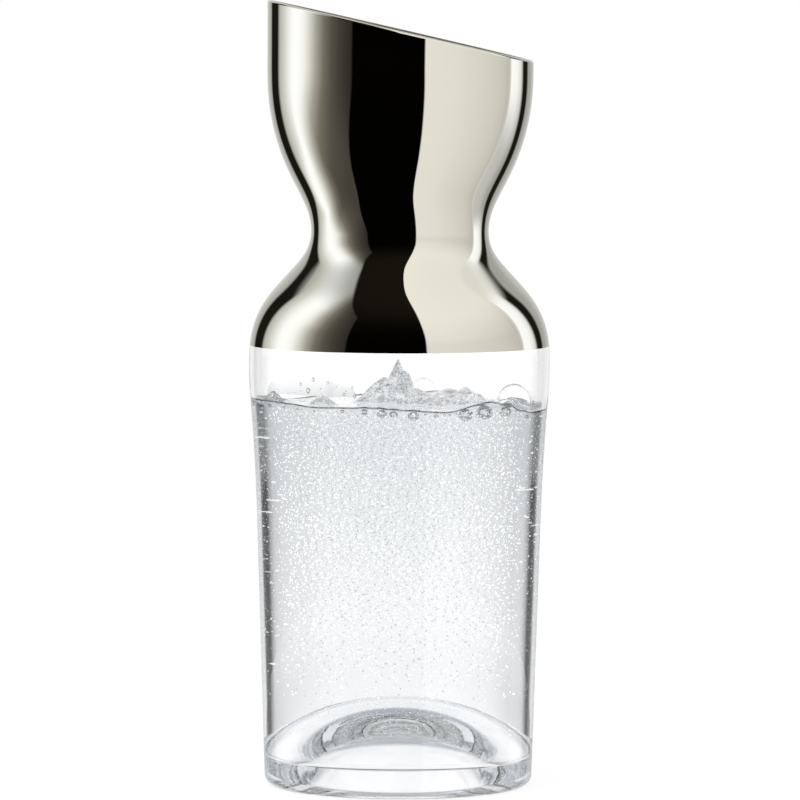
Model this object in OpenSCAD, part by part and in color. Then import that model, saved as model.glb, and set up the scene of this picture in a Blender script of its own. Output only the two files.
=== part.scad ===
/* [Body] */
// Outer diameter that the body's straight wall would have at the standing plane
foot_d = 98.6; // [88:0.2:104]
// Height from the standing plane to the widest band
body_rise = 154; // [120:1:190]
// Lean of the straight wall from upright, in degrees
body_draft = 1.8; // [0:0.1:2.5]
// Radius that the wall starts to draw in with, under the widest band
hip_bend = 102; // [60:1:160]
// Radius that blends this into the straight wall
hip_blend = 735; // [300:5:1200]
// Widest outer diameter
shoulder_d = 111; // [108:0.2:120]
// Height of the widest band
band_rise = 6.4; // [2:0.2:20]

/* [Waist and bowl] */
// Height from the widest band to the waist
shoulder_rise = 44; // [36:0.5:60]
// Outer diameter at the waist, which the hand closes round
waist_d = 64.8; // [56:0.2:76]
// Outer radius of the bend at the waist, on the shoulder's side
waist_bend_low = 14; // [8:0.5:24]
// Outer radius of the bend at the waist, on the bowl's side
waist_bend_high = 24; // [12:0.5:40]
// Height from the waist to the straight collar
bowl_rise = 57.4; // [45:0.2:75]
// Outer diameter of the collar and the mouth
mouth_d = 98; // [86:0.2:110]
// Height of the straight collar on its low side, up to the rim's crown
collar_low = 5.1; // [1:0.1:30]
// Slant of the mouth from level, in degrees
mouth_slant = 12.8; // [0:0.1:20]

/* [Glass] */
// Thickness of the wall, with the coat where there is one
wall = 2.2; // [1.6:0.1:3.2]
// Thickness of the floor at the middle of the punt
floor_middle = 4.2; // [3:0.1:8]
// Height of the inner floor's lowest ring above the standing plane
floor_low = 10.5; // [7:0.5:14]
// Radius between the inner wall and the floor
floor_corner = 2.5; // [2:0.5:9]
// Radius of the heel, outside
heel_r = 4.5; // [2:0.5:7]

/* [Punt] */
// Height of the push-up under the floor
punt_rise = 31; // [18:0.5:36]
// Width of the flat ring that the glass stands on
stand_w = 2.5; // [1:0.1:5]
// Radius from the flat ring into the punt
punt_bend = 5; // [2:0.5:9]
// Radius from the inner floor's lowest ring up to the dome
dome_bend = 6; // [3:0.5:9]

/* [Coat] */
// Height of the coat's lower edge above the standing plane
coat_edge = 163; // [156:0.5:190]
// Thickness of the coat, let into the glass so that both are flush
coat_t = 0.3; // [0.2:0.05:0.6]

/* [Hidden] */
$fn = 120;
// Every arc of the outline is drawn in this many chords
arc_steps = 12;
// How steep a flank is, as a share of the lean that two arcs alone would need
shoulder_lean_share = 0.77;
bowl_lean_share = 0.865;
punt_lean_share = 0.86;
// How far the cutting shapes run past what they cut
overrun = 40;

foot_r = foot_d / 2;
shoulder_r = shoulder_d / 2;
waist_r = waist_d / 2;
mouth_r = mouth_d / 2;
band_top = body_rise + band_rise;
waist_height = band_top + shoulder_rise;
collar_bottom = waist_height + bowl_rise;

// The rim is crowned across the wall: the glass's own crown, and the coat's over it
crown_share = 1.12;
glass_half = (wall - coat_t) / 2;
rim_ring_r = mouth_r - coat_t - glass_half;
glass_crown_r = crown_share * glass_half;
coat_crown_r = glass_crown_r + coat_t;
mouth_slope = tan(mouth_slant);
// Height on the axis of the slanted plane that the crowns are centred on
rim_height = collar_bottom + collar_low + rim_ring_r * mouth_slope;

function reversed(points) = [for (i = [len(points) - 1:-1:0]) points[i]];

// Points of an arc about a centre, from one angle to another
function arc(centre, radius, from, to) =
    [for (i = [0:arc_steps])
        let (a = from + (to - from) * i / arc_steps)
        centre + radius * [cos(a), sin(a)]];

// An S from [0, 0], where it is hollow with the radius near_bend, to [run, rise], where
// it is crowned. It leaves and arrives along the run, and has a straight flank between.
// A positive inset moves the whole line off its crowned side, by a wall's thickness.
function s_bend(run, rise, lean_share, near_bend, inset = 0) =
    let (
        lean = lean_share * 2 * atan(rise / run),
        both_bends = (run * sin(lean) - rise * cos(lean)) / (1 - cos(lean)),
        far_bend = both_bends - near_bend
    )
    concat(
        arc([0, near_bend], near_bend + inset, -90, lean - 90),
        arc([run, rise - far_bend], far_bend - inset, 90 + lean, 90)
    );

// The foot of the straight wall, its direction upwards and the side that faces out
wall_foot = [foot_r, 0];
wall_up = [sin(body_draft), cos(body_draft)];
wall_out = [cos(body_draft), -sin(body_draft)];

// The straight wall blends into the hip by an arc that touches both
hip_centre = [shoulder_r - hip_bend, body_rise];
to_line = wall_foot + hip_blend * wall_out - hip_centre;
both_hips = hip_bend + hip_blend;
blend_along = -to_line * wall_up - sqrt(pow(to_line * wall_up, 2) - to_line * to_line
    + pow(both_hips, 2));
blend_centre = wall_foot + blend_along * wall_up + hip_blend * wall_out;
hip_angle = atan2(blend_centre[1] - hip_centre[1], blend_centre[0] - hip_centre[0]);

// Centre of a round corner between the straight wall, set in by inset, and a level
function corner_centre(level, radius, inset) =
    let (height = level + radius)
    [foot_r + height * tan(body_draft) - (inset + radius) / cos(body_draft), height];

// The wall's outline from the end of its bottom corner up past the mouth
function wall_line(inset) = concat(
    arc(blend_centre, hip_blend + inset, 180 - body_draft, 180 + hip_angle),
    arc(hip_centre, hip_bend - inset, hip_angle, 0),
    [for (p = reversed(s_bend(shoulder_rise, shoulder_r - waist_r, shoulder_lean_share,
        waist_bend_low, inset))) [waist_r + p[1], waist_height - p[0]]],
    [for (p = s_bend(bowl_rise, mouth_r - waist_r, bowl_lean_share,
        waist_bend_high, inset)) [waist_r + p[1], waist_height + p[0]]],
    [[mouth_r - inset, rim_height + mouth_r * mouth_slope + overrun]]
);

// A line from a ring of the floor, at reach from the axis, up to the dome's middle
function dome_line(reach, level, rise, bend) =
    [for (p = s_bend(reach, rise, punt_lean_share, bend)) [reach - p[0], level + p[1]]];

heel_centre = corner_centre(0, heel_r, 0);
floor_centre = corner_centre(floor_low, floor_corner, wall);
dome_rise = punt_rise + floor_middle - floor_low;

outer_line = concat(
    reversed(dome_line(heel_centre[0] - stand_w, 0, punt_rise, punt_bend)),
    arc(heel_centre, heel_r, -90, -body_draft),
    wall_line(0)
);
inner_line = concat(
    reversed(dome_line(floor_centre[0], floor_low, dome_rise, dome_bend)),
    arc(floor_centre, floor_corner, -90, -body_draft),
    wall_line(wall)
);

// Keeps what lies above the coat's lower edge
module above_edge() {
    intersection() {
        children();
        translate([0, coat_edge])
            square([shoulder_r + overrun, rim_height + overrun]);
    }
}

// Half section of the coat's band on the outside, let into the wall
module band_section() {
    above_edge()
        polygon(concat(wall_line(0), reversed(wall_line(coat_t))));
}

// Half section of the whole wall behind the coat, which the coat crosses at the rim
module wall_section() {
    above_edge()
        polygon(concat(wall_line(0), reversed(wall_line(wall))));
}

module glass_section() {
    difference() {
        polygon(concat(outer_line, reversed(inner_line)));
        band_section();
    }
}

// Everything under a rim of this crown radius: a round ring with a solid disc below it,
// each point moved straight up or down on to the mouth's slanted plane
module under_rim(crown_r) {
    multmatrix([[1, 0, 0, 0], [0, 1, 0, 0], [-mouth_slope, 0, 1, rim_height], [0, 0, 0, 1]])
        rotate_extrude() {
            intersection() {
                translate([rim_ring_r, 0])
                    circle(r = crown_r);
                square([mouth_r + overrun, coat_crown_r]);
            }
            translate([0, -rim_height - overrun])
                square([shoulder_r + overrun, rim_height + overrun]);
        }
}

module vessel() {
    intersection() {
        rotate_extrude()
            glass_section();
        under_rim(glass_crown_r);
    }
}

module glass_body() {
    color([0.86, 0.9, 0.91, 0.45])
        vessel();
}

module platinum_coat() {
    color([0.74, 0.72, 0.68])
        difference() {
            intersection() {
                rotate_extrude()
                    wall_section();
                under_rim(coat_crown_r);
            }
            vessel();
        }
}

glass_body();
platinum_coat();
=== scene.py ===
# %% [markdown]
# # A glass carafe with a metal top
# The real carafe is one blown glass vessel. Its upper half carries a bright metal coat
# that was fired on the outside. Sparkling water stands in it, still splashing from the
# pour. This lesson dresses the measured model of it: clear glass, mirror metal, and
# water with all its bubbles, each modelled as a mesh of its own.

import math
import random

import bmesh
import bpy
from mathutils import Matrix, Vector, noise


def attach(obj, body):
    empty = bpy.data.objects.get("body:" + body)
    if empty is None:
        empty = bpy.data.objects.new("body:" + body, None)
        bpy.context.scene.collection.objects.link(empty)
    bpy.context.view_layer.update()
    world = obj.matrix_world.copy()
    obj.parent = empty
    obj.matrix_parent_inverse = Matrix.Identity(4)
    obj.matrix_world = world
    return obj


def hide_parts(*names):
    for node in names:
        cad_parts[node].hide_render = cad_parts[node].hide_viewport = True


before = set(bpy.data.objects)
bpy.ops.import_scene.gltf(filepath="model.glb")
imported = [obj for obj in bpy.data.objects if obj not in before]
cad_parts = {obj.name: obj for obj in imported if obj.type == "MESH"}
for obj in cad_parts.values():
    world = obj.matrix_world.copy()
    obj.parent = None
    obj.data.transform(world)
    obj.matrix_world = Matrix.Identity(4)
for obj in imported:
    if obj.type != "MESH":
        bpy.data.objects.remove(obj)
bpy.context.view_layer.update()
scene = bpy.context.scene
print("nodes:", sorted(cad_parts))

# %% [markdown]
# Glass, water and gas lie behind each other here, so a ray crosses many surfaces before
# it gets out. With the usual dozen bounces it would end inside the thick heel and leave
# grey blocks there. The limits are raised, which costs little, because only few rays
# need them.

# %% Colour and bounces
scene.view_settings.view_transform = "Standard"
scene.cycles.max_bounces = 40
scene.cycles.transmission_bounces = 40
scene.cycles.glossy_bounces = 24
print("bounces:", scene.cycles.max_bounces)

# %% [markdown]
# The photographer stood 2.45 m away with a long lens, level with the rim, and looked
# slightly down. A long lens keeps the sides of the carafe nearly parallel, so the whole
# body is seen level and the water's surface only as a thin ellipse.

# %% The camera
MM = 0.001
CAMERA_DISTANCE = 2.45
CAMERA_HEIGHT = 0.298
CAMERA_DROP = math.radians(3.627)
CAMERA_TURN = math.radians(-0.006)
CAMERA_ROLL = math.radians(0.2)
LENS = 299.23

camera = bpy.data.objects.new("camera", bpy.data.cameras.new("camera"))
camera.data.lens = LENS
camera.data.sensor_width = 36
camera.data.clip_end = 20
scene.collection.objects.link(camera)
look = Matrix.Rotation(math.pi / 2 - CAMERA_DROP, 4, "X") @ Matrix.Rotation(CAMERA_ROLL, 4, "Z")
camera.matrix_world = (Matrix.Translation((0, -CAMERA_DISTANCE, CAMERA_HEIGHT))
                       @ Matrix.Rotation(CAMERA_TURN, 4, "Z") @ look)
scene.camera = camera
print("camera at", tuple(round(v, 3) for v in camera.matrix_world.translation))

# %% [markdown]
# Everything round on the carafe comes from one outline, turned about the axis. The
# outline is made of tangent arcs: a straight wall that leans out by a few degrees, a
# hip, the shoulder drawn in to the waist, and the bowl. The sizes are the measured
# model's, so that the mesh lies where its solids lie.

# %% Sizes of the carafe
FOOT_R = 49.3 * MM
BODY_RISE = 154 * MM
DRAFT = math.radians(1.8)
HIP_BEND = 102 * MM
HIP_BLEND = 735 * MM
SHOULDER_R = 55.5 * MM
BAND_RISE = 6.4 * MM
SHOULDER_RISE = 44 * MM
WAIST_R = 32.4 * MM
WAIST_BEND_LOW = 14 * MM
WAIST_BEND_HIGH = 24 * MM
BOWL_RISE = 57.4 * MM
MOUTH_R = 49 * MM
WALL = 2.2 * MM
SHOULDER_LEAN = 0.77
BOWL_LEAN = 0.865
WAIST_Z = BODY_RISE + BAND_RISE + SHOULDER_RISE
COLLAR_Z = WAIST_Z + BOWL_RISE
SHEAR_Z = COLLAR_Z + 3.6 * MM
QUARTER = math.pi / 2


def arc(centre, radius, start, end, steps=24):
    """Points of an arc as (radius, height), from one angle to another."""
    angles = [start + (end - start) * i / steps for i in range(steps + 1)]
    return [Vector(centre) + radius * Vector((math.cos(a), math.sin(a))) for a in angles]


def s_bend(run, rise, lean_share, near_bend, inset=0.0):
    """An S along the run: hollow at its start, crowned at its end, straight between."""
    lean = lean_share * 2 * math.atan(rise / run)
    both = (run * math.sin(lean) - rise * math.cos(lean)) / (1 - math.cos(lean))
    far = both - near_bend
    return (arc((0, near_bend), near_bend + inset, -QUARTER, lean - QUARTER)
            + arc((run, rise - far), far - inset, QUARTER + lean, QUARTER))


def wall_line(inset):
    """The wall's outline from the heel up to the collar, set in by a thickness."""
    up = Vector((math.sin(DRAFT), math.cos(DRAFT)))
    out = Vector((math.cos(DRAFT), -math.sin(DRAFT)))
    foot = Vector((FOOT_R, 0))
    hip = Vector((SHOULDER_R - HIP_BEND, BODY_RISE))
    reach = foot + HIP_BLEND * out - hip
    along = -reach.dot(up) - math.sqrt(
        reach.dot(up) ** 2 - reach.dot(reach) + (HIP_BEND + HIP_BLEND) ** 2)
    blend = foot + along * up + HIP_BLEND * out
    hip_angle = math.atan2(blend[1] - hip[1], blend[0] - hip[0])
    low = s_bend(SHOULDER_RISE, SHOULDER_R - WAIST_R, SHOULDER_LEAN, WAIST_BEND_LOW, inset)
    high = s_bend(BOWL_RISE, MOUTH_R - WAIST_R, BOWL_LEAN, WAIST_BEND_HIGH, inset)
    return (arc(blend, HIP_BLEND + inset, math.pi - DRAFT, math.pi + hip_angle)
            + arc(hip, HIP_BEND - inset, hip_angle, 0)
            + [Vector((WAIST_R + p[1], WAIST_Z - p[0])) for p in reversed(low)]
            + [Vector((WAIST_R + p[1], WAIST_Z + p[0])) for p in high]
            + [Vector((MOUTH_R - inset, SHEAR_Z))])


print("outline points:", len(wall_line(0)))

# %% [markdown]
# Where two arcs meet, the curve is smooth to the touch, but a mirror shows a kink,
# because the bend changes at once. Blown glass has no such place. So the outline is
# laid out in even steps, and each point is drawn a little towards its neighbours a few
# times over, which spreads each change of bend over some millimetres.

# %% A line that flows
STEP = 1.6 * MM
FLOW_PASSES = 9


def even(line, step=STEP):
    """The same line with points at even steps."""
    rests = [(b - a).length for a, b in zip(line, line[1:])]
    count = max(1, round(sum(rests) / step))
    step = sum(rests) / count
    points, gone, i = [line[0]], 0.0, 0
    for k in range(1, count):
        while gone + rests[i] < k * step:
            gone += rests[i]
            i += 1
        points.append(line[i].lerp(line[i + 1], (k * step - gone) / rests[i]))
    return points + [line[-1]]


def flowing(line):
    """The line with its changes of bend spread out. Its two ends stay."""
    line = even(line)
    for _ in range(FLOW_PASSES):
        middle = [b.lerp((a + c) / 2, 0.5) for a, b, c in zip(line, line[1:], line[2:])]
        line = [line[0]] + middle + [line[-1]]
    return line


STRAIGHT_TOP = 140 * MM


def sparse(line, keep=4):
    """Drops points on the long body, where the wall is all but straight."""
    return [p for i, p in enumerate(line) if p[1] > STRAIGHT_TOP or i % keep == 0]


flow = {inset: sparse(flowing(wall_line(inset * MM))) for inset in (0, 0.3, 0.35, 2.2)}
print("flowing points:", len(flow[0]))

# %% [markdown]
# The floor is pushed up from below into a dome, the punt, which stiffens it and lets
# the carafe stand on a narrow ring. Under and over the dome the outline is the same
# kind of S, and the heel and the inner corner are round.

# %% The floor and the punt
FLOOR_MIDDLE = 4.2 * MM
FLOOR_LOW = 10.5 * MM
FLOOR_CORNER = 2.5 * MM
HEEL_R = 4.5 * MM
PUNT_RISE = 31 * MM
STAND_W = 2.5 * MM
PUNT_BEND = 5 * MM
DOME_BEND = 6 * MM
PUNT_LEAN = 0.86
CORNER_STEPS = 8


def corner(level, radius, inset):
    """Centre of a round corner between the straight wall and a level."""
    height = level + radius
    return (FOOT_R + height * math.tan(DRAFT) - (inset + radius) / math.cos(DRAFT), height)


def dome_line(reach, level, rise, bend):
    """From the middle of a dome out to its lowest ring."""
    line = s_bend(reach, rise, PUNT_LEAN, bend)
    return even([Vector((reach - p[0], level + p[1])) for p in reversed(line)], 0.7 * MM)


heel = corner(0, HEEL_R, 0)
floor_corner = corner(FLOOR_LOW, FLOOR_CORNER, WALL)
DOME_RISE = PUNT_RISE + FLOOR_MIDDLE - FLOOR_LOW
outer_base = (dome_line(heel[0] - STAND_W, 0, PUNT_RISE, PUNT_BEND)
              + arc(heel, HEEL_R, -QUARTER, -DRAFT, CORNER_STEPS))
inner_base = (dome_line(floor_corner[0], FLOOR_LOW, DOME_RISE, DOME_BEND)
              + arc(floor_corner, FLOOR_CORNER, -QUARTER, -DRAFT, CORNER_STEPS))
print("base points:", len(outer_base), len(inner_base))

# %% [markdown]
# The mouth is cut on a slant, and the cut edge is melted round, so the rim is crowned.
# The rim is spun level first. Then everything above the collar's foot is pushed up, the
# more the nearer it is to the pouring tip, as clay is sheared. The wall stays upright
# and round, and its edge becomes the slanted ellipse.

# %% The rim
COLLAR_LOW = 5.09 * MM
MOUTH_SLANT = math.radians(12.8)
COAT_EDGE = 163 * MM
COAT_T = 0.3 * MM
CROWN_SHARE = 1.12
GLASS_HALF = (WALL - COAT_T) / 2
RIM_RING_R = MOUTH_R - COAT_T - GLASS_HALF
GLASS_CROWN_R = CROWN_SHARE * GLASS_HALF
COAT_CROWN_R = GLASS_CROWN_R + COAT_T
SLOPE = math.tan(MOUTH_SLANT)


def crown(radius, outer_wall, inner_wall):
    """The rim's crown across the wall, from its outer side to its inner side."""
    centre = (RIM_RING_R, COLLAR_Z + COLLAR_LOW)
    start = math.acos((outer_wall - RIM_RING_R) / radius)
    end = math.acos((inner_wall - RIM_RING_R) / radius)
    return arc(centre, radius, start, end, 12)


def slant(bm):
    """Pushes what lies above the collar's foot up towards the pouring tip."""
    for v in bm.verts:
        if v.co.z > SHEAR_Z + 0.01 * MM:
            v.co.z += SLOPE * (RIM_RING_R - v.co.x)


def cut_at(line, z):
    """Splits a line at height z into its part below and its part above."""
    for i, (a, b) in enumerate(zip(line, line[1:])):
        if a[1] < z <= b[1]:
            p = a.lerp(b, (z - a[1]) / (b[1] - a[1]))
            return line[:i + 1] + [p], [p] + line[i + 1:]
    raise ValueError(z)


print("tip at", round((COLLAR_Z + COLLAR_LOW + 2 * SLOPE * RIM_RING_R) / MM, 1), "mm")

# %% [markdown]
# Two helpers make most pieces: one turns an outline about the axis with the spin
# operator, and one makes the mesh object, with smooth shading and all faces outwards.

# %% Spin an outline, finish a piece
TURNS = 180


def thinned(points, least=0.02 * MM):
    """Drops points that lie on their neighbour."""
    kept = [points[0]]
    for p in points[1:]:
        if (p - kept[-1]).length > least:
            kept.append(p)
    return kept


def spun(outline, closed=False, turns=TURNS):
    """Turns an outline of (radius, height) points once round the axis."""
    bm = bmesh.new()
    verts = [bm.verts.new((p[0], 0, p[1])) for p in thinned(outline)]
    edges = [bm.edges.new(pair) for pair in zip(verts, verts[1:])]
    if closed:
        edges.append(bm.edges.new((verts[-1], verts[0])))
    bmesh.ops.spin(bm, geom=verts + edges, cent=(0, 0, 0), axis=(0, 0, 1),
                   angle=2 * math.pi, steps=turns, use_merge=True)
    bmesh.ops.remove_doubles(bm, verts=bm.verts, dist=0.001 * MM)
    bmesh.ops.dissolve_degenerate(bm, dist=0.0005 * MM, edges=bm.edges)
    return bm


def finished(name, bm, crease=20):
    """A piece from a bmesh: faces outwards, smooth but for edges sharper than a crease."""
    bmesh.ops.recalc_face_normals(bm, faces=bm.faces)
    for f in bm.faces:
        f.smooth = True
    for e in bm.edges:
        e.smooth = e.calc_face_angle(0) < math.radians(crease)
    mesh = bpy.data.meshes.new(name)
    bm.to_mesh(mesh)
    bm.free()
    piece = bpy.data.objects.new(name, mesh)
    scene.collection.objects.link(piece)
    print(name, "faces:", len(mesh.polygons))
    return piece


# %% [markdown]
# Water never stands level just after pouring. Its edge against the glass wanders up and
# down by a few millimetres, so the edge's height is set at some angles round the
# wall, counted from the front, and runs smoothly between them. Right at the glass the
# water climbs a little more: that is the meniscus.

# %% The water's edge
WATER_Z = 142.7 * MM
EDGE = [(-90, 1.4), (-63, 1.5), (-48, 1.1), (-35, 0.3), (-23, 0.5), (-12, 0.6), (-2, 0.0),
        (8, -0.6), (19, -1.0), (26, -0.2), (33, 1.4), (41, 1.7), (46, 1.0), (56, -1.5),
        (64, -2.6), (80, -2.4), (100, -1.0), (125, -0.4), (141, -2.6), (149, -0.6),
        (160, 0.6), (172, 0.0), (190, -0.6), (205, -1.4), (216, -1.0), (228, -1.6), (242, -1.8),
        (255, 0.6), (270, 1.4)]
MENISCUS_RISE = 0.8
MENISCUS_REACH = 0.7
EDGE_REACH = 7.0
ROW = [(-44, 0.55, 0.9), (-35.5, 0.45, 0.7), (-23, 0.75, 0.2), (-14, 1.35, 0.1), (-7, 1.8, 0.0),
       (-2.3, 1.5, 0.1), (5.7, 2.0, 0.0), (10.3, 0.5, 0.3), (14.6, 0.85, 0.2), (18, 0.5, 0.3),
       (20.2, 0.5, 0.3), (28, 2.7, 0.0), (37.2, 3.2, 0.1), (48, 2.4, 0.0), (61, 1.0, 0.3),
       (-62, 0.9, 0.5), (-52, 0.7, 0.6), (84, 0.9, 0.3), (-80, 1.2, 0.3)]
PUSH_UP = 0.26


def edge_height(x, y):
    """Height of the edge in the direction of (x, y), in millimetres."""
    turned = (math.degrees(math.atan2(x, -y)) + 90) % 360 - 90
    for (a, low), (b, high) in zip(EDGE, EDGE[1:]):
        if a <= turned <= b:
            ease = (1 - math.cos(math.pi * (turned - a) / (b - a))) / 2
            return low + (high - low) * ease + pushed_up(turned)
    return EDGE[0][1]


def pushed_up(turned):
    """How far the larger bubbles push the edge up there, in millimetres."""
    total = 0.0
    for degrees, size, _ in ROW:
        if size > 1:
            total += PUSH_UP * size * math.exp(-((turned - degrees) * 0.89 / size) ** 2)
    return total


print("edge at the front:", edge_height(0, -50), "mm")

# %% [markdown]
# Inside that edge lie swells, each a low bump with a place, a width and a height in
# millimetres. In the middle the last drops of the pour have thrown up a jet. Its outline
# is a small table of heights by distance, with a bulge and a fold like those of a real
# jet, and noise makes it lean and wobble.

# %% Swells and the jet
SWELLS = [
    (-28, -20, 2.7, 4.4), (-46, -12, 2.5, 4.6), (-6.0, -3, 4.2, 8.6), (-12, -5, 3.0, 2.0),
    (6, 4, 4.5, 4.6), (4.5, -5.5, 2.4, 4.0), (10.5, -9, 2.2, 3.6), (14.6, -14, 2.0, 4.9),
    (24, -14, 3.2, 6.8), (30, -15, 1.8, 3.0), (19, 12, 5.5, 5.0), (36, -5, 5, -1.6),
    (-16, 14, 9, -1.0), (28, 20, 9, -0.8), (-33, 14, 8, -0.8), (0, -27, 9, -0.5),
    (41, -12, 3.4, 3.0),
]
JET_PLACE = (-0.3, -0.6)
JET = [(0.0, 15.2), (1.4, 13.2), (2.4, 11.4), (3.5, 9.6), (4.8, 7.4), (6.4, 4.2), (8.4, 1.8),
       (11.0, 0.0)]
RIPPLE_RISE = 0.22
RIPPLE_LENGTH = 6
WOBBLE = 0.3
FOLD_RISE = 1.7
FOLD_LENGTH = 2.3


def bell(x, y, place_x, place_y, width, height):
    d = ((x - place_x) ** 2 + (y - place_y) ** 2) / width ** 2
    return height * math.exp(-d / 2)


def jet_height(x, y):
    """The jet's height at (x, y), from its table, widened here and there by noise."""
    x, y = x - JET_PLACE[0], y - JET_PLACE[1]
    wobble = 1 + WOBBLE * noise.noise(Vector((x, y, 0)) / 2.8)
    d = math.hypot(x, y) * wobble
    for (a, high), (b, low) in zip(JET, JET[1:]):
        if d <= b:
            ease = (1 - math.cos(math.pi * (d - a) / (b - a))) / 2
            return high + (low - high) * ease
    return 0.0


def lift(x, y, wall=50.9):
    """The water's height above its rest level at (x, y), all in millimetres."""
    inward = max(0.0, wall - math.hypot(x, y))
    edge = edge_height(x, y) * math.exp(-(inward / EDGE_REACH) ** 2)
    climb = MENISCUS_RISE * (math.exp(-inward / MENISCUS_REACH) - 1)
    hill = sum(bell(x, y, *swell) for swell in SWELLS)
    ripple = RIPPLE_RISE * noise.noise(Vector((x, y, 0)) / RIPPLE_LENGTH)
    calm = 1 - math.exp(-(inward / 3) ** 2)
    jet = jet_height(x, y)
    folds = FOLD_RISE * noise.noise(Vector((x, y, 5)) / FOLD_LENGTH) * min(1.0, jet / 3)
    return edge + climb + max(jet, hill * calm) + folds + ripple * calm


print("jet tip:", round(lift(*JET_PLACE), 1), "mm above the level")

# %% [markdown]
# The vessel is one closed mesh: up the outside, let in where the coat lies, over the
# crowned rim, and down the inside. The ring of the inner wall at the water's edge is
# then moved to where the water really stands, because the glass below it is wet.

# %% The glass vessel
n_base = len(outer_base)
below, above = cut_at(flow[0], COAT_EDGE)
_, recess_above = cut_at(flow[0.3], COAT_EDGE)
inner_below, inner_above = cut_at(flow[2.2], WATER_Z)
glass_outline = (outer_base + below + recess_above
                 + crown(GLASS_CROWN_R, MOUTH_R - COAT_T, MOUTH_R - WALL)
                 + list(reversed(inner_above)) + list(reversed(inner_below))
                 + list(reversed(inner_base)))
bm = spun(glass_outline)
slant(bm)
edge_r = inner_below[-1][0]
for v in bm.verts:
    if abs(v.co.z - WATER_Z) < 0.01 * MM and math.hypot(v.co.x, v.co.y) < edge_r + 0.1 * MM:
        v.co.z += lift(v.co.x / MM, v.co.y / MM, edge_r / MM) * MM
bmesh.ops.recalc_face_normals(bm, faces=bm.faces)
WET = 1
for f in bm.faces:
    c = f.calc_center_median()
    f.material_index = 0
    if f.normal.z > 0.005 and FLOOR_LOW - 0.1 * MM < c.z < WATER_Z + 3 * MM:
        level = WATER_Z + lift(c.x / MM, c.y / MM, edge_r / MM) * MM
        inside = math.hypot(c.x, c.y) < edge_r + 0.5 * MM
        if c.z < level and inside:
            f.material_index = WET
glass = finished("glass_vessel", bm)
print("wet faces:", sum(p.material_index == WET for p in glass.data.polygons))

# %% [markdown]
# The coat is a skin of metal, far thinner than a hair on the real carafe. The model has
# it 0.3 mm thick and let into the glass, so that both are flush. It runs from a crisp
# lower edge up over the shoulder, waist and bowl, and over the rim. Its inner side bites
# into the glass by a twentieth of a millimetre, so that no gap shines between the two.

# %% The metal coat
COAT_BITE = 0.05 * MM
CROWN_SHADE_WIDTH = 0.3 * MM
_, bite_above = cut_at(flow[0.35], COAT_EDGE)
coat_outline = (above + crown(COAT_CROWN_R, MOUTH_R, MOUTH_R - WALL)
                + list(reversed(crown(GLASS_CROWN_R - COAT_BITE, MOUTH_R - COAT_T - COAT_BITE,
                                      MOUTH_R - WALL + 0.02 * MM)))
                + list(reversed(bite_above)))
bm = spun(coat_outline, closed=True)
bmesh.ops.recalc_face_normals(bm, faces=bm.faces)
# Slot 1 is the coat's back against the glass. Slot 2, the inner part of the crown, is a dark brown metal: painted
# shade for the dark line along the rim.
for f in bm.faces:
    c = f.calc_center_median()
    inward = f.normal.xy.dot(c.xy.normalized()) < -0.3
    crown_inside = c.z > SHEAR_Z and c.xy.length < RIM_RING_R + CROWN_SHADE_WIDTH
    f.material_index = 2 if crown_inside else 1 if inward and c.z < SHEAR_Z else 0
slant(bm)
coat = finished("platinum_skin", bm)

# %% [markdown]
# The water fills the vessel up to its moving surface. The same outline, spun, gives the
# sides and the floor, and rings of points across the top take up the swells. It reaches
# a twentieth of a millimetre into the glass, so that no air lies between them.

# %% The water
WATER_BITE = 0.05 * MM
WATER_TURNS = 240
TOP_RINGS = 96
LINE_RISE = 0.55 * MM
side, _ = cut_at(sparse(flowing(wall_line(WALL - WATER_BITE)), 5), WATER_Z)
side = [p for p in side if p[1] < WATER_Z - 7 * MM or p is side[-1]]
side.insert(-1, side[-1].lerp(side[-2], LINE_RISE / (side[-1][1] - side[-2][1])))
water_base = (dome_line(floor_corner[0], FLOOR_LOW - WATER_BITE, DOME_RISE, DOME_BEND)
              + arc(floor_corner, FLOOR_CORNER + WATER_BITE, -QUARTER, -DRAFT, CORNER_STEPS))
RING_CROWDING = 0.86


def ring_share(i):
    """Share of the way from the glass to the middle, with more rings at both ends."""
    t = i / TOP_RINGS
    return t - RING_CROWDING * math.sin(2 * math.pi * t) / (2 * math.pi)


top_rings = [Vector((side[-1][0] * (1 - ring_share(i)), WATER_Z))
             for i in range(1, TOP_RINGS + 1)]
bm = spun(water_base + side + top_rings, turns=WATER_TURNS)
bmesh.ops.recalc_face_normals(bm, faces=bm.faces)
# The outermost ring of the top, at the glass, and a band of the sides just under the surface at the front, take
# nearly black clear materials: painted shade for the dark line along the meniscus.
FREE_TOP, AT_GLASS, RIM_SHADE_SLOT, LINE_SHADE_SLOT, SLOPE_SHADE_SLOT = 0, 1, 2, 3, 4
STEEP = 0.93
LINE_SHADE_FRONT = -12 * MM
RIM_SHADE_WIDTH = 0.7 * MM
top_r = side[-1][0]
for f in bm.faces:
    on_top = all(v.co.z > WATER_Z - 0.01 * MM for v in f.verts)
    outermost = f.calc_center_median().xy.length > top_r - RIM_SHADE_WIDTH
    f.material_index = AT_GLASS if not on_top else RIM_SHADE_SLOT if outermost else FREE_TOP
    c = f.calc_center_median()
    if not on_top and c.z > WATER_Z - LINE_RISE and c.y < LINE_SHADE_FRONT:
        f.material_index = LINE_SHADE_SLOT
for v in bm.verts:
    if v.co.z > WATER_Z - LINE_RISE - 0.01 * MM:
        v.co.z += lift(v.co.x / MM, v.co.y / MM, top_r / MM) * MM
bm.normal_update()
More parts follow.
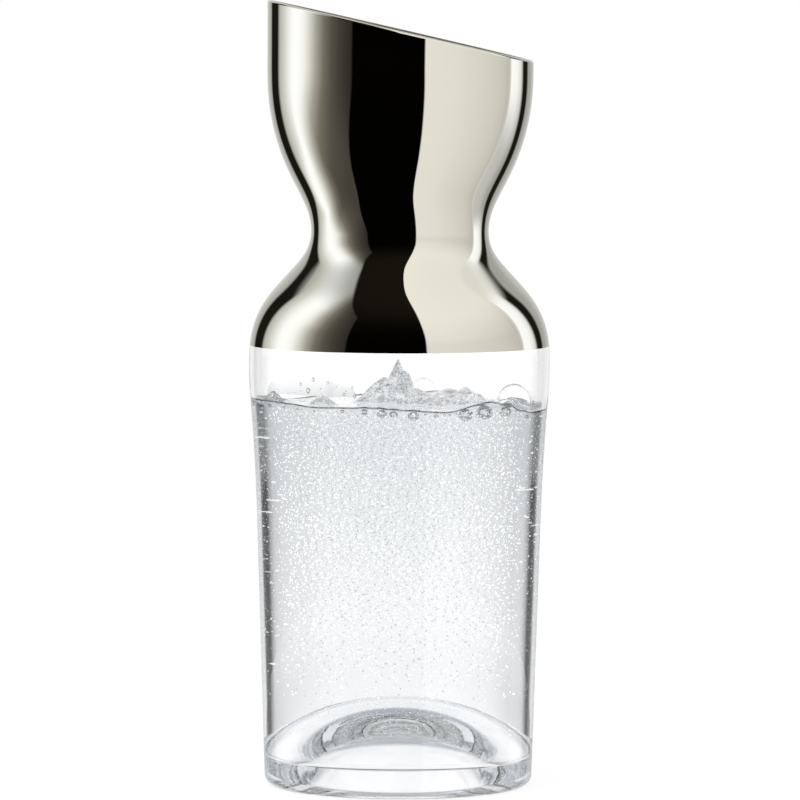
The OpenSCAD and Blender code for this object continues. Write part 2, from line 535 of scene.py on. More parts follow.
# Faces of the top that lean more steeply take the slope slot: grey streaks of painted shade on the jet and the lumps.
for f in bm.faces:
    if f.material_index == FREE_TOP and f.normal.z < STEEP:
        f.material_index = SLOPE_SHADE_SLOT
water = finished("water_fill", bm, 60)

# %% [markdown]
# Gas comes out of sparkling water as fine bubbles, everywhere at once. Each is a ball
# of twenty faces, made once and copied to thousands of places, because no eye can
# tell more on a bubble half a millimetre wide. Larger ones have rounder balls.


# %% Balls at many places
def balls(name, places, roundness=1, shaded_every=0):
    """One piece with a closed ball for each (centre, radius, flatness)."""
    ball = bmesh.new()
    bmesh.ops.create_icosphere(ball, subdivisions=roundness, radius=1)
    unit = bpy.data.meshes.new("unit_ball")
    ball.to_mesh(unit)
    ball.free()
    bm = bmesh.new()
    for centre, radius, flat in places:
        one = unit.copy()
        one.transform(Matrix.Translation(centre) @ Matrix.Diagonal((radius, radius, radius * flat, 1)))
        bm.from_mesh(one)
        bpy.data.meshes.remove(one)
    bpy.data.meshes.remove(unit)
    # One ball in every shaded_every takes the second slot, the grey one with painted shade.
    if shaded_every:
        per_ball = len(bm.faces) // len(places)
        for i, f in enumerate(bm.faces):
            f.material_index = int(i // per_ball % shaded_every == 0)
    return finished(name, bm, 80)


def water_r(z):
    """Inner radius of the vessel at a height under the widest band."""
    for a, b in zip(wet_wall, wet_wall[1:]):
        if a[1] <= z <= b[1]:
            return a[0] + (b[0] - a[0]) * (z - a[1]) / (b[1] - a[1])
    return wet_wall[0][0]


wet_wall = inner_base[-CORNER_STEPS:] + inner_below + inner_above[:20]


def floor_z(r):
    """Height of the inner floor at a distance from the axis."""
    for a, b in zip(inner_base, inner_base[1:]):
        if a[0] <= r <= b[0]:
            return a[1] + (b[1] - a[1]) * (r - a[0]) / (b[0] - a[0])
    return FLOOR_LOW


print("inner radius at 100 mm:", round(water_r(0.1) / MM, 2))

# %% [markdown]
# The fine bubbles are thickest near the top, where they gather, and many cling to the
# glass. Their places are drawn by chance from a fixed seed, so every run gives the same
# water. They are made as three layers, which keeps each mesh light.

# %% Fine bubbles
FINE_LAYERS = [("fine_bubbles_high", 100, 142), ("fine_bubbles_middle", 66, 100),
               ("fine_bubbles_low", 34, 66)]
FINE_STEP = 1.18
FINE_JITTER = 0.45
FINE_LEAST, FINE_MOST = 0.2, 0.45
SHADED_EVERY = 3
FRONT_SPAN = math.radians(60)
SURFACE_DEPTH = 7 * MM
UNDER_JET = 13 * MM
DOME_COUNT = 240
DOME_REACH = 33 * MM
SIDE_COUNT = 4000
draw = random.Random(7)


def crowd(height, across):
    """How many of the places at a height, and at -1 to 1 across the glass, hold a bubble."""
    by_height = min(1.0, max(0.0, (height - 32) / 60)) ** 0.8
    by_side = min(1.0, max(0.04, (0.9 - abs(across)) / 0.16))
    return by_height * by_side


def free_place(x, y, z, radius):
    """Whether a bubble there lies clear of the floor, the surface and the jet's foot."""
    r = math.hypot(x, y)
    if z - radius < floor_z(r) + 0.1 * MM:
        return False
    if z < WATER_Z - SURFACE_DEPTH:
        return True
    surface = WATER_Z + lift(x / MM, y / MM, edge_r / MM) * MM
    return z + radius < surface - 0.3 * MM and r > UNDER_JET


def fine_layer(name, low, high):
    """Bubbles between two heights: a grid of places on the front glass, and a cloud."""
    tries = []
    z = low
    while z < high:
        a = -FRONT_SPAN
        while a < FRONT_SPAN:
            shake = draw.uniform(-FINE_JITTER, FINE_JITTER)
            tries.append((1.0, a + shake / 51, z + draw.uniform(-FINE_JITTER, FINE_JITTER)))
            a += FINE_STEP / 51
        z += FINE_STEP
    for _ in range(len(tries) // 2):
        out = 1.0 if draw.random() < 0.3 else math.sqrt(draw.random())
        tries.append((out, draw.uniform(-math.pi, math.pi), draw.uniform(low, high)))
    places = []
    for out, a, height in tries:
        radius = draw.uniform(FINE_LEAST, FINE_MOST) * MM
        z = height * MM
        r = (water_r(z) - radius - 0.08 * MM) * out
        x, y = r * math.sin(a), -r * math.cos(a)
        if draw.random() < crowd(height, x / water_r(z)) and free_place(x, y, z, radius):
            places.append((Vector((x, y, z)), radius, 1))
    return balls(name, places, shaded_every=SHADED_EVERY)


fine_bubbles = [fine_layer(*layer) for layer in FINE_LAYERS]
dome = []
for _ in range(DOME_COUNT):
    r = DOME_REACH * math.sqrt(draw.random())
    turn = draw.uniform(0, 2 * math.pi)
    radius = draw.uniform(0.1, 0.24) * MM
    dome.append((Vector((r * math.cos(turn), r * math.sin(turn), floor_z(r) + radius * 1.3)), radius, 1))
for _ in range(SIDE_COUNT):
    turn = draw.gauss(0, 19) + draw.choice((0, 180))
    z = (20 + 119 * draw.random() ** 0.55) * MM
    radius = draw.uniform(0.08, 0.23) * MM
    r = water_r(z) - radius - 0.08 * MM
    a = math.radians(turn)
    dome.append((Vector((r * math.cos(a), r * math.sin(a), z)), radius, 1))
fine_bubbles.append(balls("dome_bubbles", dome, shaded_every=2))

# %% [markdown]
# Just under the meniscus a row of larger bubbles has risen against the front glass and
# waits to burst. Each has its place by degrees round the wall from the front, its
# radius, and how far its top lies under the surface.

# %% Bubbles under the surface
row = []
for degrees, size, under in ROW:
    a = math.radians(degrees)
    r = edge_r - (size + 0.12) * MM
    x, y = r * math.sin(a), -r * math.cos(a)
    z = WATER_Z + (lift(x / MM, y / MM, edge_r / MM) - under - 0.15 - size * 0.8) * MM
    row.append((Vector((x, y, z)), size * MM, 0.8))
large_bubbles = balls("large_bubbles", row, 4)
# Faces of a bubble that turn neither to the glass nor to the middle, round its rim as seen through the wall, and
# faces on its underside take the second slot, a grey gas: painted shade for the bubble's dark rim.
RIM_SHADE_SHARE = 0.56
SHADED_UNDERSIDE = -0.5
for p in large_bubbles.data.polygons:
    facing = abs(p.normal.xy.dot(p.center.xy.normalized()))
    p.material_index = int(facing < RIM_SHADE_SHARE or p.normal.z < SHADED_UNDERSIDE)

# %% [markdown]
# Above the surface the splash left drops on the glass. A drop on glass is
# flattened against it, so each ball is pressed along the wall's direction, and it bites
# a little into the glass.

# %% Drops on the glass
DROPS = [(-41.5, 8.2, 0.6), (-35.2, 10.2, 0.7), (-28.5, 9.3, 0.55), (-18.3, 7.7, 0.6),
         (-37.8, 6.1, 0.9), (-21.8, 5.2, 0.6), (-17.5, 4.5, 0.65), (-32, 7.0, 0.3),
         (-25, 7.8, 0.25), (-21, 6.4, 0.3)]
TINY_DROPS = 46
places = [(a, z, size) for a, z, size in DROPS]
for _ in range(TINY_DROPS):
    places.append((draw.uniform(-58, 10), draw.uniform(3.5, 11.5), draw.uniform(0.07, 0.2)))
bm = bmesh.new()
for degrees, height, size in places:
    a = math.radians(degrees)
    z = WATER_Z + height * MM
    r = water_r(z)
    made = bmesh.ops.create_icosphere(bm, subdivisions=3 if size > 0.4 else 2, radius=size * MM)
    press = Matrix.Rotation(a, 4, "Z") @ Matrix.Diagonal((1, 0.55, 1.15, 1))
    put = Matrix.Translation((r * math.sin(a), -r * math.cos(a), z)) @ press
    bmesh.ops.transform(bm, matrix=put, verts=made["verts"])
wall_drops = finished("wall_drops", bm, 80)

# %% [markdown]
# Under those drops a film of water still runs down the glass. It is a thin pillow that
# follows the wall: two sheets of points, one just inside the glass and one that bulges
# out over it, which meet along a wavy edge.

# %% The film on the glass
FILM_FROM, FILM_TO = -62, -17
FILM_FOOT, FILM_RISE = 4.2, 10.6
FILM_THICK = 0.07
ACROSS, UP = 60, 14
bm = bmesh.new()
sheets = []
for bulge in (0, FILM_THICK):
    sheet = []
    for i in range(ACROSS + 1):
        u = i / ACROSS
        a = math.radians(FILM_FROM + (FILM_TO - FILM_FROM) * u)
        top = FILM_RISE * (0.5 + 0.5 * math.sin(math.pi * u) ** 0.5) + noise.noise(Vector((9 * u, 0, 3)))
        column = []
        for j in range(UP + 1):
            v = j / UP
            z = WATER_Z + (FILM_FOOT + (top - FILM_FOOT) * v) * MM
            swell = math.sin(math.pi * v) ** 0.7 * math.sin(math.pi * u) ** 0.5
            r = water_r(z) + 0.05 * MM - bulge * MM * swell
            column.append(bm.verts.new((r * math.sin(a), -r * math.cos(a), z)))
        sheet.append(column)
    for left_column, right_column in zip(sheet, sheet[1:]):
        for j in range(UP):
            bm.faces.new((left_column[j], right_column[j], right_column[j + 1], left_column[j + 1]))
bmesh.ops.remove_doubles(bm, verts=bm.verts, dist=0.001 * MM)
bmesh.ops.recalc_face_normals(bm, faces=bm.faces)
wall_film = finished("wall_film", bm, 80)

# %% [markdown]
# A few bubbles stand out of the surface as thin domes of water film. Each is a cap
# with two walls, spun from a closed outline and moved to its place.

# %% Film domes on the surface
DOMES = [(8.9, 4.0, 4.6, -0.6, 0.12), (41.8, -14.0, 6.3, -0.4, 0.6), (38.0, -19.0, 3.4, 0.2, 0.4)]
DOME_RIM = math.radians(-8)
bm = bmesh.new()
for x, y, size, sink, film in DOMES:
    outline = (arc((0, 0), size * MM, DOME_RIM, QUARTER, 20)
               + list(reversed(arc((0, 0), (size - film) * MM, DOME_RIM, QUARTER, 20))))
    outline[20][0] = outline[21][0] = 0
    cap = spun(outline, closed=True, turns=48)
    level = WATER_Z + (lift(x, y) - sink) * MM
    bmesh.ops.translate(cap, vec=(x * MM, y * MM, level), verts=cap.verts)
    one = bpy.data.meshes.new("cap")
    cap.to_mesh(one)
    cap.free()
    bm.from_mesh(one)
    bpy.data.meshes.remove(one)
film_domes = finished("film_domes", bm, 60)


# %% [markdown]
# Glass and water are the same kind of material: all light passes, bent by the index of
# the one against the other. From glass into air the index is 1.5 and from water into air
# 1.333, but from glass into water it is only their ratio. So the wet part of the
# glass has a material of its own, and the water's sides, which only touch glass, bend
# nothing more.

# %% A clear material
GLASS_INDEX = 1.5
WATER_INDEX = 1.333


def material(name):
    mat = bpy.data.materials.new(name)
    mat.use_nodes = True
    return mat, mat.node_tree.nodes["Principled BSDF"]


def clear(name, index, colour=(1, 1, 1)):
    """A clear material: colour is what is left of white light behind one surface."""
    mat, shader = material(name)
    shader.inputs["Base Color"].default_value = (*colour, 1)
    shader.inputs["Roughness"].default_value = 0
    shader.inputs["IOR"].default_value = index
    shader.inputs["Transmission Weight"].default_value = 1
    return mat


WATER_TINT_HIGH = (0.69, 0.713, 0.728)
WATER_TINT_LOW = (0.962, 0.969, 0.976)
TINT_LOW_Z, TINT_HIGH_Z = 14 * MM, 130 * MM


def tinted_by_height(mat, low, high, low_z, high_z):
    """Lets a clear material's colour run from low to high between two heights."""
    tree = mat.node_tree
    place = tree.nodes.new("ShaderNodeTexCoord")
    split = tree.nodes.new("ShaderNodeSeparateXYZ")
    height = tree.nodes.new("ShaderNodeMapRange")
    height.inputs["From Min"].default_value = low_z
    height.inputs["From Max"].default_value = high_z
    tint = tree.nodes.new("ShaderNodeMix")
    tint.data_type = "RGBA"
    tint.inputs[6].default_value = (*low, 1)
    tint.inputs[7].default_value = (*high, 1)
    tree.links.new(place.outputs["Object"], split.inputs[0])
    tree.links.new(split.outputs["Z"], height.inputs["Value"])
    tree.links.new(height.outputs[0], tint.inputs[0])
    tree.links.new(tint.outputs[2], tree.nodes["Principled BSDF"].inputs["Base Color"])


def noise_on(mat, length):
    """A noise with blobs of about that length, on the piece's own coordinates."""
    tree = mat.node_tree
    place = tree.nodes.new("ShaderNodeTexCoord")
    spots = tree.nodes.new("ShaderNodeTexNoise")
    spots.inputs["Scale"].default_value = 1 / length
    spots.inputs["Detail"].default_value = 2
    tree.links.new(place.outputs["Object"], spots.inputs["Vector"])
    return spots.outputs[0]


def mottled(mat, low, high, length):
    """Lets a material's roughness wander between two values."""
    tree = mat.node_tree
    spread = tree.nodes.new("ShaderNodeMapRange")
    spread.inputs["From Min"].default_value = 0.3
    spread.inputs["From Max"].default_value = 0.7
    spread.inputs["To Min"].default_value = low
    spread.inputs["To Max"].default_value = high
    tree.links.new(noise_on(mat, length), spread.inputs["Value"])
    tree.links.new(spread.outputs[0], tree.nodes["Principled BSDF"].inputs["Roughness"])


def wavy(mat, length, rise):
    """Gives a surface waves of a length and a height too small to see by themselves."""
    tree = mat.node_tree
    bump = tree.nodes.new("ShaderNodeBump")
    bump.inputs["Distance"].default_value = rise
    tree.links.new(noise_on(mat, length), bump.inputs["Height"])
    tree.links.new(bump.outputs[0], tree.nodes["Principled BSDF"].inputs["Normal"])


def streaked(mat, dark, light, length):
    """Lets a material's colour wander between two values in folded streaks."""
    tree = mat.node_tree
    fold = noise_on(mat, length)
    fold.node.inputs["Distortion"].default_value = 1.2
    spread = tree.nodes.new("ShaderNodeMapRange")
    spread.inputs["From Min"].default_value = 0.42
    spread.inputs["From Max"].default_value = 0.56
    tint = tree.nodes.new("ShaderNodeMix")
    tint.data_type = "RGBA"
    tint.inputs[6].default_value = (*dark, 1)
    tint.inputs[7].default_value = (*light, 1)
    tree.links.new(fold, spread.inputs["Value"])
    tree.links.new(spread.outputs[0], tint.inputs[0])
    tree.links.new(tint.outputs[2], tree.nodes["Principled BSDF"].inputs["Base Color"])


glass_mat = clear("clear_glass", GLASS_INDEX)
wavy(glass_mat, 30 * MM, 0.03 * MM)
glass.data.materials.append(glass_mat)
glass.data.materials.append(clear("wet_glass", GLASS_INDEX / WATER_INDEX))
water.data.materials.append(clear("water_surface", WATER_INDEX))
water_side = clear("water_side", 1.0, WATER_TINT_HIGH)
water.data.materials.append(water_side)
tinted_by_height(water_side, WATER_TINT_LOW, WATER_TINT_HIGH, TINT_LOW_Z, TINT_HIGH_Z)
# Painted shade: the water's rim at the glass and the band under the front of the surface let little light through,
# for the dark line of the meniscus.
water.data.materials.append(clear("water_rim_painted_shade", WATER_INDEX, (0.12, 0.125, 0.135)))
water.data.materials.append(clear("water_line_painted_shade", 1.0, (0.15, 0.155, 0.165)))
# Painted shade: the steep slopes of the jet and the lumps are streaked grey.
slope_shade_mat = clear("water_slope_painted_shade", WATER_INDEX)
streaked(slope_shade_mat, (0.42, 0.43, 0.44), (1, 1, 1), 2.4 * MM)
water.data.materials.append(slope_shade_mat)
# Painted shade: the film is grey at its foot, 3 mm above the level, and clear from 12 mm up.
film_shade_mat = clear("water_film_painted_shade", WATER_INDEX)
tinted_by_height(film_shade_mat, (0.70, 0.71, 0.72), (1, 1, 1), WATER_Z + 3.0 * MM, WATER_Z + 12.0 * MM)
wall_film.data.materials.append(film_shade_mat)
drop_mat = clear("water_drop", WATER_INDEX)
wall_drops.data.materials.append(drop_mat)
film_domes.data.materials.append(drop_mat)
print("clear materials:", [m.name for m in bpy.data.materials])

# %% [markdown]
# A bubble is the other way round: light comes from the water into gas, so the index is
# below one, and near its rim the bubble throws all light back like a mirror.

# %% Gas in water
def gas_in_water(name, colour):
    mat = bpy.data.materials.new(name)
    mat.use_nodes = True
    nodes = mat.node_tree.nodes
    nodes.remove(nodes["Principled BSDF"])
    bend = nodes.new("ShaderNodeBsdfGlass")
    bend.inputs["Color"].default_value = (*colour, 1)
    bend.inputs["IOR"].default_value = 1 / WATER_INDEX
    bend.inputs["Roughness"].default_value = 0
    mat.node_tree.links.new(bend.outputs[0], nodes["Material Output"].inputs["Surface"])
    return mat


large_bubbles.data.materials.append(gas_in_water("gas", (1, 1, 1)))
# Painted shade: a grey gas for the rims and undersides of the larger bubbles.
large_bubbles.data.materials.append(gas_in_water("gas_painted_rim_shade", (0.62, 0.63, 0.64)))

# %% Fine bubbles' painted glow
# The fine bubbles glow, though they are no lamps: the white ones are painted highlights for the bright specks of real
# bubbles, and the grey ones, which glow less, are painted shade for their dark rims.
painted_glow, shader = material("bubble_painted_glow")
shader.inputs["Base Color"].default_value = (1, 1, 1, 1)
shader.inputs["Roughness"].default_value = 0.3
shader.inputs["Emission Color"].default_value = (1, 1, 1, 1)
shader.inputs["Emission Strength"].default_value = 0.7
shade_and_glow, shader = material("bubble_painted_shade_glow")
shader.inputs["Base Color"].default_value = (0.62, 0.63, 0.64, 1)
shader.inputs["Roughness"].default_value = 0.3
shader.inputs["Emission Color"].default_value = (1, 1, 1, 1)
shader.inputs["Emission Strength"].default_value = 0.46
mottled(painted_glow, 0.2, 0.45, 2 * MM)
mottled(shade_and_glow, 0.2, 0.45, 2 * MM)
for layer in fine_bubbles:
    layer.data.materials.append(painted_glow)
    layer.data.materials.append(shade_and_glow)

# %% The bright metal
coat_mat, shader = material("bright_platinum")
shader.inputs["Base Color"].default_value = (0.83, 0.818, 0.715, 1)
shader.inputs["Metallic"].default_value = 1
shader.inputs["Roughness"].default_value = 0.02
mottled(coat_mat, 0.012, 0.03, 12 * MM)
wavy(coat_mat, 16 * MM, 0.012 * MM)
coat.data.materials.append(coat_mat)
coat_back, shader = material("platinum_inside")
shader.inputs["Base Color"].default_value = (0.96, 0.955, 0.94, 1)
shader.inputs["Metallic"].default_value = 1
shader.inputs["Roughness"].default_value = 0.3
mottled(coat_back, 0.26, 0.34, 6 * MM)
coat.data.materials.append(coat_back)
# Painted shade: a dark brown metal on the crown's inner part, for the dark line along the rim.
coat_edge, shader = material("platinum_edge_painted_shade")
shader.inputs["Base Color"].default_value = (0.30, 0.25, 0.20, 1)
shader.inputs["Metallic"].default_value = 1
shader.inputs["Roughness"].default_value = 0.15
mottled(coat_edge, 0.1, 0.25, 3 * MM)
coat.data.materials.append(coat_edge)

# %% [markdown]
# Glass and metal show what stands round them, so the studio is part of the picture. Its
# colours are worked out by nodes from the direction that a ray leaves in. These helpers
# add one node each: a sum, a soft step, a blend of two colours, a ramp of tones.

# %% Node helpers
DEGREE = 180 / math.pi
WARM = (1, 0.975, 0.97)
BROWN = (1, 0.92, 0.82)
PLAIN = (1, 1, 1)
COOL = (1, 1.01, 1.09)


class Desk:
    """Adds nodes to one tree and links them."""

    def __init__(self, tree):
        self.tree = tree

    def add(self, kind, **settings):
        node = self.tree.nodes.new("ShaderNode" + kind)
        for key, value in settings.items():
            setattr(node, key, value)
        return node

    def feed(self, socket, value):
        if isinstance(value, bpy.types.NodeSocket):
            self.tree.links.new(value, socket)
        elif isinstance(value, tuple):
            socket.default_value = (*value, 1)
        else:
            socket.default_value = value

    def sum(self, operation, a, b=0.0):
        node = self.add("Math", operation=operation)
        self.feed(node.inputs[0], a)
        self.feed(node.inputs[1], b)
        return node.outputs[0]

    def step(self, value, start, end):
        """0 up to start, 1 from end on, smooth between."""
        node = self.add("MapRange", interpolation_type="SMOOTHSTEP")
        self.feed(node.inputs["Value"], value)
        self.feed(node.inputs["From Min"], start)
        self.feed(node.inputs["From Max"], end)
        return node.outputs[0]

    def blend(self, factor, a, b):
        node = self.add("Mix", data_type="RGBA")
        for place, value in ((0, factor), (6, a), (7, b)):
            self.feed(node.inputs[place], value)
        return node.outputs[2]

    def tones(self, degrees, stops):
        """A tone for each angle. A stop is degrees, brightness and tint."""
        node = self.add("ValToRGB")
        elements = node.color_ramp.elements
        while len(elements) > 1:
            elements.remove(elements[0])
        for i, (angle, bright, tint) in enumerate(stops):
            place = (angle + 180) / 360
            stop = elements[0] if i == 0 else elements.new(place)
            stop.position = place
            stop.color = (*(bright * c for c in tint), 1)
        share = self.sum("DIVIDE", self.sum("ADD", degrees, 180.0), 360.0)
        self.feed(node.inputs[0], share)
        return node.outputs[0]


# %% The studio's directions
world = bpy.data.worlds.new("studio")
world.use_nodes = True
scene.world = world
desk = Desk(world.node_tree)
where = desk.add("TexCoord")
sides = desk.add("SeparateXYZ")
desk.feed(sides.inputs[0], where.outputs["Generated"])
turn = desk.sum("MULTIPLY", desk.sum("ARCTAN2", sides.outputs["X"], sides.outputs["Y"]), DEGREE)
height = desk.sum("MULTIPLY", desk.sum("ARCSINE", sides.outputs["Z"]), DEGREE)

# %% The left box
LEFT_BOX = [(-180, 0.012, BROWN), (-138, 0.03, BROWN), (-132, 0.043, BROWN), (-125, 0.066, BROWN),
            (-118, 0.105, BROWN), (-110, 0.206, BROWN), (-102, 0.45, WARM), (-95, 0.79, PLAIN),
            (-88, 1.09, COOL), (-80, 1.22, COOL), (-72, 1.18, COOL), (-65, 0.955, COOL),
            (-58, 0.73, PLAIN), (-50, 0.52, PLAIN), (-40, 0.43, PLAIN)]
below = desk.sum("MAXIMUM", desk.sum("MULTIPLY", height, -1.0), 0.0)
dip = desk.sum("POWER", desk.sum("DIVIDE", below, 50.0), 1.6)
front_edge = desk.sum("SUBTRACT", turn, desk.sum("MULTIPLY", dip, 22.5))
far_side = desk.sum("MULTIPLY", desk.step(turn, -77.0, -64.0),
                    desk.sum("SUBTRACT", 1.0, desk.step(below, 18.0, 34.0)))
near_side = desk.sum("MINIMUM", desk.sum("MAXIMUM", desk.sum("DIVIDE", desk.sum("ADD", turn, 126.0), 34.0), 0.0), 1.0)
squeeze = desk.sum("MULTIPLY", near_side, desk.sum("SUBTRACT", 1.0, far_side))
slide = desk.sum("SUBTRACT", desk.sum("MULTIPLY", below, 0.68), desk.sum("MULTIPLY", desk.step(height, 22.0, 32.0), 2.8))
box_turn = desk.sum("SUBTRACT", turn, desk.sum("MULTIPLY", slide, squeeze))
left_box = desk.tones(box_turn, LEFT_BOX)
behind_front = desk.step(front_edge, -138.8, -136.2)
arch = desk.sum("MULTIPLY", desk.sum("POWER", desk.sum("ADD", turn, 82.0), 2.0), 0.0068)
over_top = desk.step(desk.sum("ADD", height, arch), 65.8, 68.2)
dimmed = desk.sum("SUBTRACT", 1.0, desk.sum("MULTIPLY", desk.step(height, 44.0, 67.0), 0.66))
under_top = desk.sum("MULTIPLY", dimmed, desk.sum("SUBTRACT", 1.0, over_top))
box_seen = desk.sum("MULTIPLY", behind_front, under_top)
lift_dark = desk.sum("MULTIPLY", desk.step(height, 20.0, 75.0), 0.009)
dark = desk.add("CombineColor")
desk.feed(dark.inputs[0], desk.sum("ADD", lift_dark, 0.0008))
desk.feed(dark.inputs[1], desk.sum("ADD", desk.sum("MULTIPLY", lift_dark, 0.85), 0.0006))
desk.feed(dark.inputs[2], desk.sum("ADD", desk.sum("MULTIPLY", lift_dark, 0.6), 0.0004))
black = dark.outputs[0]
left = desk.blend(box_seen, black, left_box)

# %% The back wall and the right wall
MIDDLE = [(-45, 0.36, PLAIN), (-33, 0.42, PLAIN), (-28, 0.46, PLAIN), (-20, 0.555, PLAIN),
          (-10, 0.70, PLAIN), (0, 0.76, PLAIN), (8, 0.65, PLAIN), (15, 0.59, PLAIN),
          (20, 0.55, PLAIN), (25, 0.46, PLAIN), (32, 0.41, PLAIN), (42, 0.45, PLAIN)]
RIGHT_LOW = [(47, 0.66, PLAIN), (50, 0.78, PLAIN), (53, 0.92, COOL), (58, 1.12, COOL),
             (67.4, 1.18, COOL), (69.2, 0.70, WARM), (72, 0.60, WARM), (76, 0.66, WARM),
             (85, 0.73, WARM), (100, 0.79, WARM), (115, 0.84, WARM), (130, 0.89, WARM),
             (145, 0.91, WARM), (180, 0.92, WARM)]
RIGHT_HIGH = [(50, 0.82, PLAIN), (66, 0.84, PLAIN), (71, 0.93, WARM), (130, 0.97, WARM),
              (180, 1.0, WARM)]
low_tones = desk.tones(turn, MIDDLE + RIGHT_LOW)
high_tones = desk.tones(turn, [(-45, 0.6, PLAIN), (30, 0.6, PLAIN)] + RIGHT_HIGH)
on_wall = desk.step(turn, 68.0, 70.5)
rise_strip = desk.step(height, 34.0, 49.0)
rise_wall = desk.step(height, 14.0, 50.0)
rise = desk.sum("ADD", desk.sum("MULTIPLY", on_wall, rise_wall),
                desk.sum("MULTIPLY", desk.sum("SUBTRACT", 1.0, on_wall), rise_strip))
right = desk.blend(rise, low_tones, high_tones)
strip_low = desk.sum("MULTIPLY", desk.sum("SUBTRACT", 1.0, desk.step(height, -24.0, -1.0)),
                     desk.sum("MULTIPLY", desk.step(turn, 42.0, 49.0),
                              desk.sum("SUBTRACT", 1.0, desk.step(turn, 67.0, 70.0))))
right = desk.blend(desk.sum("MULTIPLY", strip_low, 0.55), right, (0.16, 0.15, 0.14))
seam = desk.sum("MULTIPLY", desk.step(height, -2.0, 9.0),
                desk.sum("SUBTRACT", 1.0, desk.step(height, 13.0, 22.0)))
seam = desk.sum("MULTIPLY", seam, desk.step(turn, 70.0, 80.0))
right = desk.blend(desk.sum("MULTIPLY", seam, 0.06), right, (0.0, 0.0, 0.0))
wall_end = desk.sum("ADD", 158.9, desk.sum("MULTIPLY", desk.sum("MAXIMUM", desk.sum("SUBTRACT", height, 24.0), 0.0), 0.075))
past_end = desk.step(desk.sum("SUBTRACT", turn, wall_end), -0.8, 0.8)
right = desk.blend(past_end, right, black)
mirror = desk.blend(desk.step(turn, -47.0, -46.0), left, right)

# %% The black flags
def flag(inner, outer, softness):
    """1 between two edges that lean with height, soft at both."""
    started = desk.step(desk.sum("SUBTRACT", turn, inner), -softness, softness)
    ended = desk.step(desk.sum("SUBTRACT", turn, outer), -softness, softness)
    return desk.sum("MULTIPLY", started, desk.sum("SUBTRACT", 1.0, ended))


def leaning(base, lean):
    return desk.sum("ADD", desk.sum("MULTIPLY", height, lean), base)


flags = desk.sum("ADD", flag(leaning(-48.6, -0.04), -30.3, 2.6),
                 flag(leaning(35.3, 0.11), leaning(48.0, 0.12), 2.6))
flags = desk.sum("MULTIPLY", flags, desk.sum("SUBTRACT", 1.0, desk.step(height, 31.0, 40.0)))
mirror = desk.blend(flags, mirror, (0.011, 0.010, 0.007))

# %% The studio through glass
BACKDROP = [(-180, 1.0, PLAIN), (-156, 1.0, PLAIN), (-154, 0.06, PLAIN), (-148, 0.06, PLAIN),
            (-146, 1.05, PLAIN), (-128, 1.05, PLAIN), (-126, 0.08, PLAIN), (-122, 0.08, PLAIN),
            (-120, 1.05, PLAIN), (-60, 1.14, PLAIN), (-56.5, 1.0, PLAIN), (-53, 0.10, PLAIN),
            (-46.0, 0.03, PLAIN), (-43.0, 0.38, PLAIN), (-39, 0.76, PLAIN), (-27, 0.93, PLAIN),
            (-15, 1.14, PLAIN), (15, 1.14, PLAIN), (27, 0.93, PLAIN), (39, 0.76, PLAIN),
            (43.0, 0.38, PLAIN), (46.0, 0.03, PLAIN), (53, 0.10, PLAIN), (56.5, 1.0, PLAIN),
            (60, 1.14, PLAIN), (120, 1.05, PLAIN), (122, 0.08, PLAIN), (126, 0.08, PLAIN),
            (128, 1.05, PLAIN), (157, 1.0, PLAIN), (180, 1.0, PLAIN)]
LEAST_TONE = 0.34
paler = desk.tones(turn, [(a, max(bright, LEAST_TONE), tint) for a, bright, tint in BACKDROP])
through = desk.blend(desk.step(height, -1.7, -0.6), desk.tones(turn, BACKDROP), paler)
gap = desk.sum("MULTIPLY", desk.step(height, 42.0, 54.0),
               desk.sum("SUBTRACT", 1.0, desk.step(height, 70.0, 84.0)))
at_back = desk.sum("SUBTRACT", 1.0, desk.step(desk.sum("ABSOLUTE", turn), 60.0, 80.0))
through = desk.blend(desk.step(height, 50.0, 70.0), through, (0.60, 0.64, 0.68))
through = desk.blend(desk.sum("MULTIPLY", gap, at_back), through, (0.53, 0.56, 0.60))

# %% The studio by kind of ray
path = desk.add("LightPath")
view = desk.blend(path.outputs["Is Glossy Ray"], (0.85, 0.85, 0.85), mirror)
view = desk.blend(path.outputs["Is Transmission Ray"], view, through)
view = desk.blend(path.outputs["Is Camera Ray"], view, (1.0, 1.0, 1.0))
desk.feed(world.node_tree.nodes["Background"].inputs["Color"], view)

# %% The floor, with painted shade seen through the glass
bpy.ops.mesh.primitive_circle_add(vertices=96, radius=1.2, fill_type="NGON")
floor = bpy.context.object
floor.name = "floor"
floor.visible_glossy = False
floor_mat, shader = material("pale_floor_with_painted_shade")
floor.data.materials.append(floor_mat)
shader.inputs["Base Color"].default_value = (0.9, 0.9, 0.9, 1)
shader.inputs["Roughness"].default_value = 0.9
FLOOR_WHITE = 1.06
FLOOR_GLOW = 0.85
# Painted shade on the floor that only rays through the glass see: dark bands either side, where the studio's flags
# stand.
FLOOR_SHADE_THROUGH_GLASS = [(-180, 0.95, PLAIN), (-62, 1.05, PLAIN), (-56, 0.6, PLAIN), (-52, 0.1, PLAIN),
               (-45, 0.03, PLAIN), (-40, 0.60, PLAIN), (-36, 0.70, PLAIN), (-27, 0.80, PLAIN),
               (-20, 0.95, PLAIN), (-12, 1.06, PLAIN), (12, 1.06, PLAIN), (20, 0.95, PLAIN),
               (27, 0.80, PLAIN), (36, 0.70, PLAIN), (40, 0.60, PLAIN), (45, 0.03, PLAIN),
               (52, 0.1, PLAIN), (56, 0.6, PLAIN), (62, 1.05, PLAIN), (180, 0.95, PLAIN)]
desk = Desk(floor_mat.node_tree)
where = desk.add("TexCoord")
sides = desk.add("SeparateXYZ")
desk.feed(sides.inputs[0], where.outputs["Object"])
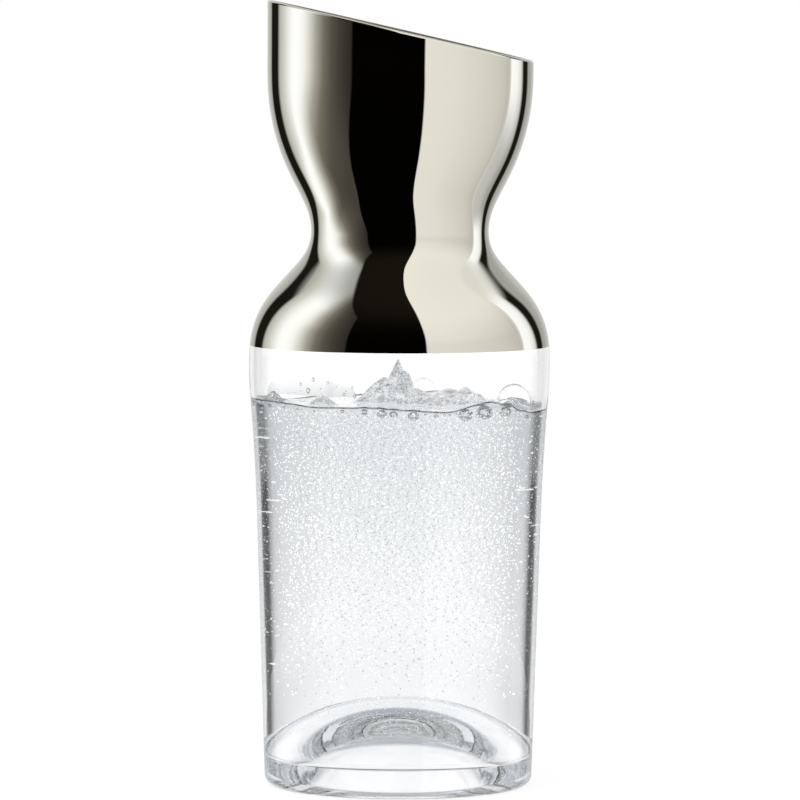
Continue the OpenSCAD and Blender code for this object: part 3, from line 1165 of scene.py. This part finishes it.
turn = desk.sum("MULTIPLY", desk.sum("ARCTAN2", sides.outputs["X"], sides.outputs["Y"]), DEGREE)
away = desk.sum("POWER", desk.sum("ADD", desk.sum("POWER", sides.outputs["X"], 2.0),
                                  desk.sum("POWER", sides.outputs["Y"], 2.0)), 0.5)
middle_tone = desk.tones(turn, FLOOR_SHADE_THROUGH_GLASS)
# Further out, the floor takes the studio's tones through the glass, dark flags and all: painted shade.
far_tone = desk.tones(turn, BACKDROP)
tone = desk.blend(desk.step(away, 0.62, 1.15), middle_tone, far_tone)
# Painted shade round the carafe: grey within a quarter of a metre, and darker still in front of it within a tenth.
tone = desk.blend(desk.step(away, 0.24, 0.5), (0.80, 0.82, 0.84), tone)
behind = desk.sum("MAXIMUM", desk.step(sides.outputs["Y"], -0.05, -0.01),
                  desk.step(desk.sum("ABSOLUTE", sides.outputs["X"]), 0.03, 0.055))
near_shade = desk.blend(behind, (0.58, 0.60, 0.62), (0.98, 0.99, 1.0))
tone = desk.blend(desk.step(away, 0.10, 0.26), near_shade, tone)
# A painted shadow: a dark bar on the floor under the front of the carafe.
across = desk.step(desk.sum("SUBTRACT", 0.036, desk.sum("ABSOLUTE", sides.outputs["X"])), 0.0, 0.006)
along = desk.sum("MULTIPLY", desk.step(sides.outputs["Y"], -0.031, -0.025),
                 desk.sum("SUBTRACT", 1.0, desk.step(sides.outputs["Y"], -0.020, -0.012)))
tone = desk.blend(desk.sum("MULTIPLY", across, along), tone, (0.03, 0.03, 0.035))
path = desk.add("LightPath")
# Camera rays see an even white floor; only rays through the glass see the painted shade.
seen = desk.blend(path.outputs["Is Camera Ray"], tone, (FLOOR_WHITE, FLOOR_WHITE, FLOOR_WHITE))
emit = desk.add("Emission")
desk.feed(emit.inputs["Color"], seen)
mix = desk.add("MixShader")
share = desk.sum("ADD", desk.sum("MULTIPLY", path.outputs["Is Camera Ray"], FLOOR_GLOW),
                 path.outputs["Is Transmission Ray"])
desk.feed(mix.inputs[0], share)
desk.feed(mix.inputs[1], shader.outputs[0])
desk.feed(mix.inputs[2], emit.outputs[0])
desk.feed(floor_mat.node_tree.nodes["Material Output"].inputs["Surface"], mix.outputs[0])

# %% Lamp
lamp = bpy.data.objects.new("key", bpy.data.lights.new("key", "AREA"))
lamp.data.energy = 8
lamp.data.size = 0.8
lamp.location = (-0.7, -0.9, 1.3)
lamp.rotation_euler = (Vector((0, 0, 0.15)) - lamp.location).to_track_quat("-Z", "Y").to_euler()
lamp.visible_glossy = False
lamp.visible_transmission = False
scene.collection.objects.link(lamp)

# %% Table
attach(glass, "root")
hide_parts("glass_body")
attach(coat, "root")
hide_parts("platinum_coat")
for piece in (water, *fine_bubbles, large_bubbles, wall_drops, wall_film, film_domes):
    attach(piece, "root")
